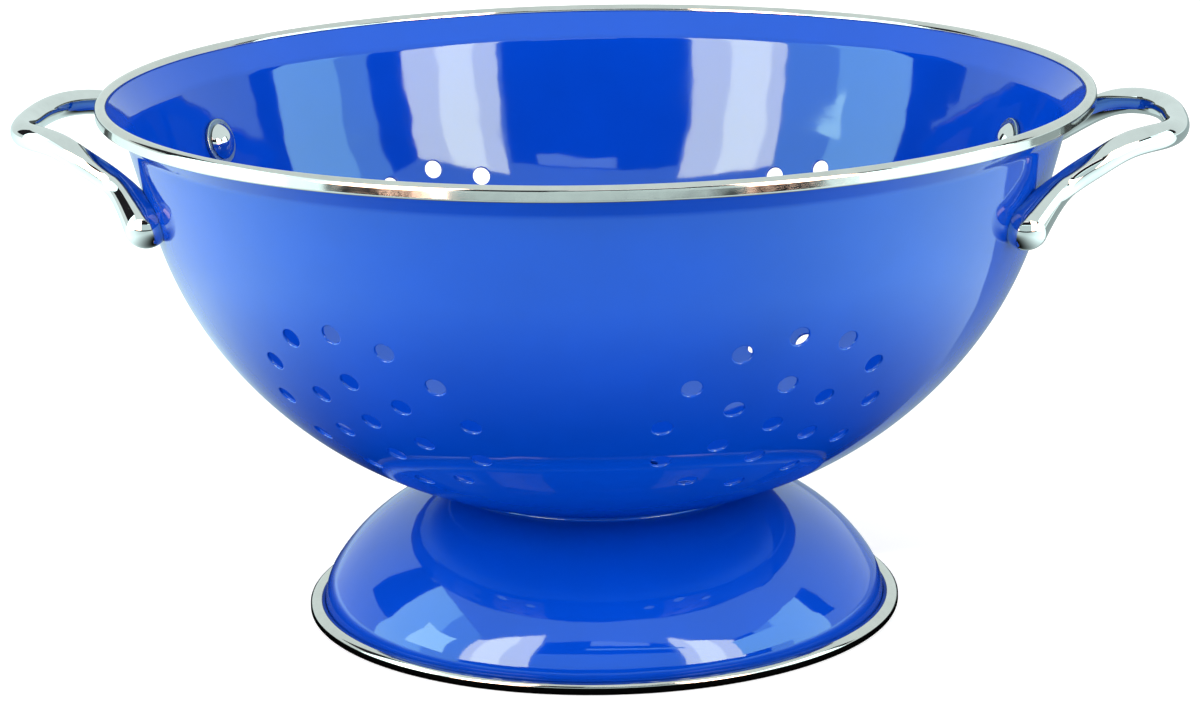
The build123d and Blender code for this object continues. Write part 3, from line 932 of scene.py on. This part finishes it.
def carried(tree, source, before, after, kind="LINEAR"):
    """A value carried over from one range to another."""
    node = add_node(tree, "ShaderNodeMapRange", interpolation_type=kind)
    for socket, value in zip(("From Min", "From Max", "To Min", "To Max"), (*before, *after)):
        node.inputs[socket].default_value = value
    tree.links.new(source, node.inputs["Value"])
    return node.outputs["Result"]


def spread(tree, source, middle, under, over):
    """A texture's usual range, carried over to shares of a middle value."""
    return carried(tree, source, (0.3, 0.7), (middle * under, middle * over))


def tinted(tree, source, tint, swing):
    """A colour that swings a little darker and lighter with a texture."""
    node = add_node(tree, "ShaderNodeValToRGB")
    ends = node.color_ramp.elements
    ends[0].position, ends[1].position = 0.32, 0.68
    ends[0].color = (*(np.array(tint) * (1 - swing)), 1.0)
    ends[1].color = (*(np.array(tint) * (1 + swing)), 1.0)
    tree.links.new(source, node.inputs["Fac"])
    return node.outputs["Color"]


def bump(tree, source, strength, distance, before=None):
    """A bump from a texture's height."""
    node = add_node(tree, "ShaderNodeBump", Strength=strength, Distance=distance)
    tree.links.new(source, node.inputs["Height"])
    if before is not None:
        tree.links.new(before, node.inputs["Normal"])
    return node.outputs["Normal"]


def maths(tree, operation, *values):
    """The result of a Math node, fed with numbers and other nodes' results."""
    node = add_node(tree, "ShaderNodeMath", operation=operation)
    for socket, value in zip(node.inputs, values):
        if isinstance(value, (int, float)):
            socket.default_value = value
        else:
            tree.links.new(value, socket)
    return node.outputs["Value"]


def choose(tree, switch, off, on):
    """One shader or another, by a switch of nothing or one."""
    mix = add_node(tree, "ShaderNodeMixShader")
    tree.links.new(switch, mix.inputs["Fac"])
    tree.links.new(off, mix.inputs[1])
    tree.links.new(on, mix.inputs[2])
    return mix.outputs["Shader"]


def enamel_coat(finish):
    """Glossy glass enamel: deep even blue with a faint cloudiness, slow waves and fine orange peel.

    A glass coat mirrors more than paint does, and its mirrored light loses a little red.
    """
    material, tree, out = new_material("Enamel coat")
    mirror_index, mirror_tint, cloudiness = 1.8, (0.6, 1.0, 0.82, 1.0), 0.06
    shader = add_node(tree, "ShaderNodeBsdfPrincipled", IOR=mirror_index)
    shader.inputs["Specular Tint"].default_value = mirror_tint
    place = add_node(tree, "ShaderNodeTexCoord").outputs["Object"]
    cloud = noise(tree, place, scale=26.0, detail=3.0, rough=0.55)
    tree.links.new(tinted(tree, cloud, finish.coat, cloudiness), shader.inputs["Base Color"])
    gloss = spread(tree, noise(tree, place, scale=140.0), finish.coat_gloss, 0.8, 1.25)
    tree.links.new(gloss, shader.inputs["Roughness"])
    slow = bump(tree, noise(tree, place, scale=38.0), strength=0.35, distance=0.6 * MM)
    fine = bump(tree, noise(tree, place, scale=420.0), strength=0.08, distance=0.06 * MM, before=slow)
    tree.links.new(fine, shader.inputs["Normal"])
    tree.links.new(shader.outputs["BSDF"], out.inputs["Surface"])
    return material


def bright_metal(name, tint, rough, wave_scale, wave_height, brush=0.0):
    """Polished metal: a faint cloudiness in its gloss and slow waves from rolling, casting and buffing."""
    material, tree, out = new_material(name)
    shader = add_node(tree, "ShaderNodeBsdfPrincipled", Metallic=1.0)
    place = add_node(tree, "ShaderNodeTexCoord").outputs["Object"]
    cloud = noise(tree, place, scale=90.0, detail=3.0, rough=0.6)
    tree.links.new(tinted(tree, cloud, tint, swing=0.05), shader.inputs["Base Color"])
    gloss = noise(tree, place, scale=260.0, detail=3.0, rough=0.6)
    tree.links.new(spread(tree, gloss, rough, 0.7, 1.4), shader.inputs["Roughness"])
    normal = bump(tree, noise(tree, place, scale=wave_scale), strength=0.4, distance=wave_height)
    if brush:
        grain = noise(tree, place, scale=2200.0, rough=0.6)
        normal = bump(tree, grain, strength=brush, distance=0.04 * MM, before=normal)
    tree.links.new(normal, shader.inputs["Normal"])
    tree.links.new(shader.outputs["BSDF"], out.inputs["Surface"])
    return material


def glow_material(name, tint, seen, lit):
    """A light panel, with a tint and strength in reflections.

    It gives matt faces plain white light of another strength. A reflection of a reflection shows only an
    eighth of it.
    """
    material, tree, out = new_material(name)
    path = add_node(tree, "ShaderNodeLightPath")
    shown = add_node(tree, "ShaderNodeEmission", Color=(*tint, 1.0))
    fading = carried(tree, path.outputs["Ray Depth"], (1.0, 2.0), (seen, seen / 8))
    tree.links.new(fading, shown.inputs["Strength"])
    given = add_node(tree, "ShaderNodeEmission", Strength=lit)
    mirrored = path.outputs["Is Glossy Ray"]
    both = choose(tree, mirrored, given.outputs["Emission"], shown.outputs["Emission"])
    tree.links.new(both, out.inputs["Surface"])
    return material


def card_material(name, shade):
    """A matt card that takes light away."""
    material, tree, out = new_material(name)
    shader = add_node(tree, "ShaderNodeBsdfDiffuse", Color=(*shade, 1.0))
    tree.links.new(shader.outputs["BSDF"], out.inputs["Surface"])
    return material


def table_material():
    """Pale table, in three ways of being seen.

    The camera sees it white and matt, so it keeps the object's shadow. Other matt faces get a weaker light
    from it. In reflections it shows painted shade and painted light: a painted shadow, black under the bowl,
    rising to a painted grey in front and painted white light at both sides. Its strength is a smooth rise
    with the distance r from the axis, times 0.8 + 0.85 (|x| / r) cubed.
    """
    material, tree, out = new_material("Pale table")
    path = add_node(tree, "ShaderNodeLightPath")
    # Painted shade and light for the table in reflections: painted shadow under the bowl, grey in front,
    # brighter at the sides
    painted_front_shade, painted_side_light, painted_shadow_until, full_from = 0.8, 0.85, 85 * MM, 300 * MM

    def lit(shade, strength):
        matt = add_node(tree, "ShaderNodeBsdfDiffuse", Color=(shade, shade, shade * 0.98, 1.0))
        glow = add_node(tree, "ShaderNodeEmission", Strength=strength)
        both = add_node(tree, "ShaderNodeAddShader")
        tree.links.new(matt.outputs["BSDF"], both.inputs[0])
        tree.links.new(glow.outputs["Emission"], both.inputs[1])
        return both.outputs["Shader"]

    place = add_node(tree, "ShaderNodeTexCoord").outputs["Object"]
    axes = add_node(tree, "ShaderNodeSeparateXYZ")
    tree.links.new(place, axes.inputs["Vector"])
    reach = add_node(tree, "ShaderNodeVectorMath", operation="LENGTH")
    tree.links.new(place, reach.inputs[0])
    away = reach.outputs["Value"]
    # Painted shadow: the table in reflections darkens smoothly towards the bowl's axis
    rise = carried(tree, away, (painted_shadow_until, full_from), (0.0, 1.0), "SMOOTHSTEP")
    # Painted light: the table in reflections grows brighter towards both sides along X
    aside = maths(tree, "POWER", maths(tree, "ABSOLUTE", maths(tree, "DIVIDE", axes.outputs["X"], away)), 3.0)
    # This emission is a painted reflection of a shaded and lit table
    mirrored = add_node(tree, "ShaderNodeEmission", Color=(0.78, 1.0, 1.0, 1.0))
    strength = maths(tree, "MULTIPLY", rise, maths(tree, "MULTIPLY_ADD", aside, painted_side_light, painted_front_shade))
    tree.links.new(strength, mirrored.inputs["Strength"])
    dim, pale = lit(shade=0.36, strength=0.28), lit(shade=0.7, strength=0.5)
    direct = choose(tree, path.outputs["Is Camera Ray"], dim, pale)
    either = choose(tree, path.outputs["Is Glossy Ray"], direct, mirrored.outputs["Emission"])
    tree.links.new(either, out.inputs["Surface"])
    return material


def card(name, corners, material):
    """A flat four-cornered card of the stage, not seen by the camera."""
    mesh = bpy.data.meshes.new(name)
    mesh.from_pydata([Vector(c) for c in corners], [], [(0, 1, 2, 3)])
    mesh.materials.append(material)
    thing = bpy.data.objects.new(name, mesh)
    bpy.context.scene.collection.objects.link(thing)
    thing.visible_camera = False
    return thing


# Operators: one for each piece or group of like pieces, and one for the stage


def coat_finish():
    """The enamel coat, made once."""
    return bpy.data.materials.get("Enamel coat") or enamel_coat(bpy.context.scene.colander_finishes)


def metal_finish(name, tint, rough, wave_scale, wave_height, brush=0.0):
    """A metal finish, made once and found again by its name."""
    return bpy.data.materials.get(name) or bright_metal(name, tint, rough, wave_scale, wave_height, brush)


def wall_of(scene):
    """The bowl's outline from the sizes kept in the scene."""
    return WallOutline(scene.colander_bowl)


def rivet_spots(rivets):
    """The name ending and azimuth of each rivet; the camera's side is the front."""
    return zip(("right_back", "left_back", "left_front", "right_front"), four_sides(rivets.azimuth))


class COLANDER_OT_bowl(bpy.types.Operator):
    """Make the bowl with its strainer holes and rivet holes"""

    bl_idname = "colander.make_bowl"
    bl_label = "Make Bowl"

    def execute(self, context):
        scene = context.scene
        blocks = bowl_blocks(scene.colander_bowl, scene.colander_rivets, scene.colander_bands.rim_top)
        piece = piece_from_blocks("Bowl", blocks)
        finish_piece(piece, coat_finish(), "enamel_coat", "bowl")
        return {"FINISHED"}


class COLANDER_OT_foot_ring(bpy.types.Operator):
    """Make the foot ring under the bowl"""

    bl_idname = "colander.make_foot_ring"
    bl_label = "Make Foot Ring"

    def execute(self, context):
        scene = context.scene
        blocks = foot_blocks(scene.colander_foot, scene.colander_bowl.sheet, wall_of(scene))
        piece = piece_from_blocks("Foot_ring", blocks)
        finish_piece(piece, coat_finish(), "enamel_coat", "foot_ring")
        return {"FINISHED"}


class COLANDER_OT_bands(bpy.types.Operator):
    """Make the rolled bands on the bowl's edge and round the foot"""

    bl_idname = "colander.make_bands"
    bl_label = "Make Bands"

    def execute(self, context):
        scene = context.scene
        tint, wave = scene.colander_finishes.band, 0.2 * MM
        chrome = metal_finish("Band chrome", tint, rough=0.08, wave_scale=60.0, wave_height=wave)
        rim = rim_band_blocks(scene.colander_bands, scene.colander_bowl.rim_radius, wall_of(scene))
        finish_piece(piece_from_blocks("Rim_band", rim), chrome, "band_chrome", "rim_band")
        foot = foot_band_blocks(scene.colander_bands, scene.colander_foot.foot_radius)
        finish_piece(piece_from_blocks("Foot_band", foot), chrome, "band_chrome", "foot_band")
        return {"FINISHED"}


class COLANDER_OT_handles(bpy.types.Operator):
    """Make the two looped handles, with their feet trimmed to the wall"""

    bl_idname = "colander.make_handles"
    bl_label = "Make Handles"

    def execute(self, context):
        scene = context.scene
        wall, handles = wall_of(scene), scene.colander_handles
        tint, wave = scene.colander_finishes.chrome, 0.4 * MM
        chrome = metal_finish("Handle chrome", tint, rough=0.035, wave_scale=55.0, wave_height=wave)
        blocks = handle_blocks(handles, scene.colander_rivets, wall, scene.colander_bands.rim_top)
        right = piece_from_blocks("Handle_right", blocks, exact=False)
        slab = piece_from_blocks("Wall_room", wall_room_blocks(wall), exact=False)
        trim = right.modifiers.new("Trim", "BOOLEAN")
        trim.operation, trim.solver, trim.object = "DIFFERENCE", "EXACT", slab
        shape = right.evaluated_get(context.evaluated_depsgraph_get())
        trimmed = bpy.data.meshes.new_from_object(shape)
        right.modifiers.clear()
        right.data = trimmed
        bpy.data.objects.remove(slab)
        fewest_faces = 1000
        if len(trimmed.polygons) < fewest_faces:
            raise RuntimeError("the handle came out empty after its feet were trimmed")
        trimmed.shade_smooth()
        trimmed.set_sharp_from_angle(angle=math.radians(40))
        left = bpy.data.objects.new("Handle_left", trimmed.copy())
        left.data.transform(Matrix.Rotation(math.pi, 4, "Z"))
        scene.collection.objects.link(left)
        finish_piece(right, chrome, "handle_chrome", "handle_right")
        finish_piece(left, chrome, "handle_chrome", "handle_left")
        return {"FINISHED"}


class COLANDER_OT_rivets(bpy.types.Operator):
    """Make the four rivets with their domed heads"""

    bl_idname = "colander.make_rivets"
    bl_label = "Make Rivets"

    def execute(self, context):
        scene = context.scene
        wall, rivets, top = wall_of(scene), scene.colander_rivets, scene.colander_bands.rim_top
        tint, wave = scene.colander_finishes.chrome, 0.15 * MM
        steel = metal_finish("Rivet steel", tint, rough=0.06, wave_scale=220.0, wave_height=wave)
        for ending, azimuth in rivet_spots(rivets):
            piece = piece_from_blocks("Rivet_" + ending, rivet_blocks(rivets, wall, top, azimuth))
            finish_piece(piece, steel, "rivet_steel", "rivet_" + ending)
        return {"FINISHED"}


class COLANDER_OT_washers(bpy.types.Operator):
    """Make the four washers under the rivet heads"""

    bl_idname = "colander.make_washers"
    bl_label = "Make Washers"

    def execute(self, context):
        scene = context.scene
        wall, rivets, top = wall_of(scene), scene.colander_rivets, scene.colander_bands.rim_top
        tint, wave = scene.colander_finishes.washer, 0.1 * MM
        dull = metal_finish("Washer steel", tint, rough=0.3, wave_scale=120.0, wave_height=wave, brush=0.3)
        for ending, azimuth in rivet_spots(rivets):
            piece = piece_from_blocks("Washer_" + ending, washer_blocks(rivets, wall, top, azimuth))
            finish_piece(piece, dull, "washer_steel", "washer_" + ending)
        return {"FINISHED"}


class COLANDER_OT_stage(bpy.types.Operator):
    """Set up the table, the light panels, the dark drape between them and the camera"""

    bl_idname = "colander.make_stage"
    bl_label = "Make Stage"

    def execute(self, context):
        scene, studio = context.scene, context.scene.colander_studio
        side = 4.0
        corners = [(-side, -side, 0), (side, -side, 0), (side, side, 0), (-side, side, 0)]
        table = card("Table", corners, table_material())
        table.visible_camera = True
        self.panels(studio)
        self.sky(scene, studio)
        self.camera(scene, studio)
        scene.view_settings.view_transform = "Standard"
        return {"FINISHED"}

    def panels(self, studio):
        """Light panels, drapes between them, a dark mat behind on the right, and the room's walls far off.

        Each stands upright on a line from one place on the table to another, from a base to a top height.
        """
        warm, cool, faint_blue = (1.0, 0.665, 0.5), (0.75, 1.0, 1.0), (0.78, 1.0, 1.0)
        glow, aside = studio.panel_glow, studio.side_glow
        finishes = {
            "bright": glow_material("Light panel middle", warm, glow, glow * 0.5),
            "soft": glow_material("Light panel edge", warm, glow * 0.73, glow * 0.4),
            "side": glow_material("Side panel", cool, aside, aside * 0.5),
            "faint": glow_material("Side panel edge", cool, aside * 0.55, aside * 0.3),
            "low": glow_material("Low side panel", (0.9, 1.0, 0.9), 5.3, 2.5),
            "dash": glow_material("Lamp strip", (1.0, 1.0, 1.0), aside * 0.5, 0.0),
            "grey": glow_material("Grey drape", faint_blue, 0.75, 0.75),
            "drape": card_material("Dark drape", (0.012, 0.012, 0.014)),
            "room": glow_material("Room", (0.85, 1.0, 0.98), studio.room_glow, studio.sky),
        }
        front, behind, left, right = -0.525, -0.56, -0.62, 0.9
        low, lifted, high = 0.055, 0.24, 0.62
        wide, tall = 3.5, 2.6
        screens = (
            ("Panel_left_a", (-0.70, front), (-0.57, front), low, high, "soft"),
            ("Panel_left_b", (-0.57, front), (-0.37, front), low, high, "bright"),
            ("Panel_left_c", (-0.37, front), (-0.235, front), low, high, "soft"),
            ("Panel_right_a", (0.36, front), (0.46, front), low, high, "soft"),
            ("Panel_right_b", (0.46, front), (0.66, front), low, high, "bright"),
            ("Panel_right_c", (0.66, front), (0.93, front), low, high, "soft"),
            ("Drape", (-0.235, behind), (0.36, behind), 0.31, 0.58, "drape"),
            ("Drape_foot", (-0.235, behind), (0.36, behind), 0, 0.31, "grey"),
            ("Low_strip", (-0.02, -0.35), (0.26, -0.35), 0.235, 0.255, "faint"),
            ("Low_panel_left", (-0.42, -0.26), (-0.42, -0.11), 0.06, 0.27, "low"),
            ("Low_panel_right", (0.45, -0.29), (0.45, -0.03), 0.05, 0.26, "side"),
            ("Skirt", (-0.70, front), (0.93, front), 0, low, "drape"),
            ("Lamp_strip", (-0.02, -0.55), (0.25, -0.55), 0.51, 0.565, "dash"),
            ("Side_left_front", (left, -0.48), (left, -0.23), 0, high, "faint"),
            ("Side_left_back", (left, -0.23), (left, 0.05), 0, high, "side"),
            ("Drape_left", (left, 0.05), (left, 0.28), lifted, high, "drape"),
            ("Drape_right_front", (0.93, front), (right, -0.30), 0, high, "drape"),
            ("Side_right_front", (right, -0.30), (right, -0.12), 0, high, "faint"),
            ("Side_right_back", (right, -0.12), (right, 0.22), 0, high, "side"),
            ("Drape_right", (right, 0.22), (right, 0.36), lifted, high, "drape"),
            ("Room_front", (-wide, -wide), (wide, -wide), 0, tall, "room"),
            ("Room_right", (wide, -wide), (wide, wide), 0, tall, "room"),
            ("Room_back", (wide, wide), (-wide, wide), 0, tall, "room"),
            ("Room_left", (-wide, wide), (-wide, -wide), 0, tall, "room"),
        )
        for name, (x0, y0), (x1, y1), base, top, finish in screens:
            corners = [(x0, y0, base), (x1, y1, base), (x1, y1, top), (x0, y0, top)]
            screen = card(name, corners, finishes[finish])
            screen.visible_diffuse = name != "Skirt"
        ceiling = [(-wide, -wide, tall), (wide, -wide, tall), (wide, wide, tall), (-wide, wide, tall)]
        card("Room_top", ceiling, finishes["room"])
        shade = glow_material("Dark mat", faint_blue, 0.45, 0.0)
        mat = card("Dark_mat", [(0.05, 0.035, MM), (1.5, 0.54, MM), (1.5, 3.4, MM), (0.05, 3.4, MM)], shade)
        mat.visible_diffuse = False

    def sky(self, scene, studio):
        """White behind everything and in reflections; an even light of another strength on matt surfaces."""
        world = bpy.data.worlds.new("Even light")
        world.use_nodes = True
        tree = world.node_tree
        tree.nodes.clear()
        out = tree.nodes.new("ShaderNodeOutputWorld")
        glow = tree.nodes.new("ShaderNodeBackground")
        path = tree.nodes.new("ShaderNodeLightPath").outputs
        seen = maths(tree, "ADD", path["Is Camera Ray"], path["Is Glossy Ray"])
        seen = maths(tree, "ADD", seen, path["Is Transmission Ray"])
        tree.links.new(carried(tree, seen, (0.0, 1.0), (studio.sky, 1.0)), glow.inputs["Strength"])
        tree.links.new(glow.outputs["Background"], out.inputs["Surface"])
        scene.world = world

    def camera(self, scene, studio):
        """The camera at the photograph's place, aimed by its turn, tilt and lean."""
        turn, tilt, lean = studio.turn, studio.tilt, studio.lean
        level_part = math.cos(tilt)
        ahead = Vector((-math.sin(turn) * level_part, math.cos(turn) * level_part, -math.sin(tilt)))
        level = Vector((math.cos(turn), math.sin(turn), 0.0))
        over = level.cross(ahead)
        right = level * math.cos(lean) - over * math.sin(lean)
        up = right.cross(ahead)
        lens = bpy.data.cameras.new("Camera")
        lens.lens, lens.sensor_width, lens.sensor_fit = studio.focal, 36.0, "HORIZONTAL"
        lens.clip_start, lens.clip_end = 0.05, 50.0
        eye = bpy.data.objects.new("Camera", lens)
        frame_of_view = Matrix((right, up, -ahead)).transposed().to_4x4()
        frame_of_view.translation = (studio.camera_side, -studio.camera_back, studio.camera_height)
        eye.matrix_world = frame_of_view
        scene.collection.objects.link(eye)
        scene.camera = eye


class COLANDER_PT_sidebar(bpy.types.Panel):
    """Buttons for every piece and for the stage, with the sizes they are made from"""

    bl_idname = "COLANDER_PT_sidebar"
    bl_label = "Colander"
    bl_space_type = "VIEW_3D"
    bl_region_type = "UI"
    bl_category = "Colander"

    def draw(self, context):
        layout = self.layout
        for maker in OPERATORS:
            layout.operator(maker.bl_idname)
        for name, _, label in GROUPS:
            box = layout.box()
            box.label(text=label)
            group = getattr(context.scene, name)
            for key in group.bl_rna.properties.keys():
                if key not in ("rna_type", "name"):
                    box.prop(group, key)


GROUPS = (
    ("colander_bowl", ColanderBowlSizes, "Bowl"),
    ("colander_foot", ColanderFootSizes, "Foot ring"),
    ("colander_bands", ColanderBandSizes, "Bands"),
    ("colander_handles", ColanderHandleSizes, "Handles"),
    ("colander_rivets", ColanderRivetSizes, "Rivets and washers"),
    ("colander_finishes", ColanderFinishes, "Finishes"),
    ("colander_studio", ColanderStudio, "Stage"),
)
OPERATORS = (
    COLANDER_OT_bowl,
    COLANDER_OT_foot_ring,
    COLANDER_OT_bands,
    COLANDER_OT_handles,
    COLANDER_OT_rivets,
    COLANDER_OT_washers,
    COLANDER_OT_stage,
)


def register():
    """Adds the groups of sizes, the operators and the panel."""
    for name, group, label in GROUPS:
        bpy.utils.register_class(group)
        setattr(bpy.types.Scene, name, bpy.props.PointerProperty(type=group, name=label))
    for maker in OPERATORS:
        bpy.utils.register_class(maker)
    bpy.utils.register_class(COLANDER_PT_sidebar)


def unregister():
    """Takes them away again."""
    bpy.utils.unregister_class(COLANDER_PT_sidebar)
    for maker in reversed(OPERATORS):
        bpy.utils.unregister_class(maker)
    for name, group, _ in reversed(GROUPS):
        delattr(bpy.types.Scene, name)
        bpy.utils.unregister_class(group)


def main():
    """Makes every piece and the stage in order."""
    register()
    bpy.ops.colander.make_bowl()
    bpy.ops.colander.make_foot_ring()
    bpy.ops.colander.make_bands()
    bpy.ops.colander.make_handles()
    bpy.ops.colander.make_rivets()
    bpy.ops.colander.make_washers()
    bpy.ops.colander.make_stage()


if __name__ == "__main__":
    main()
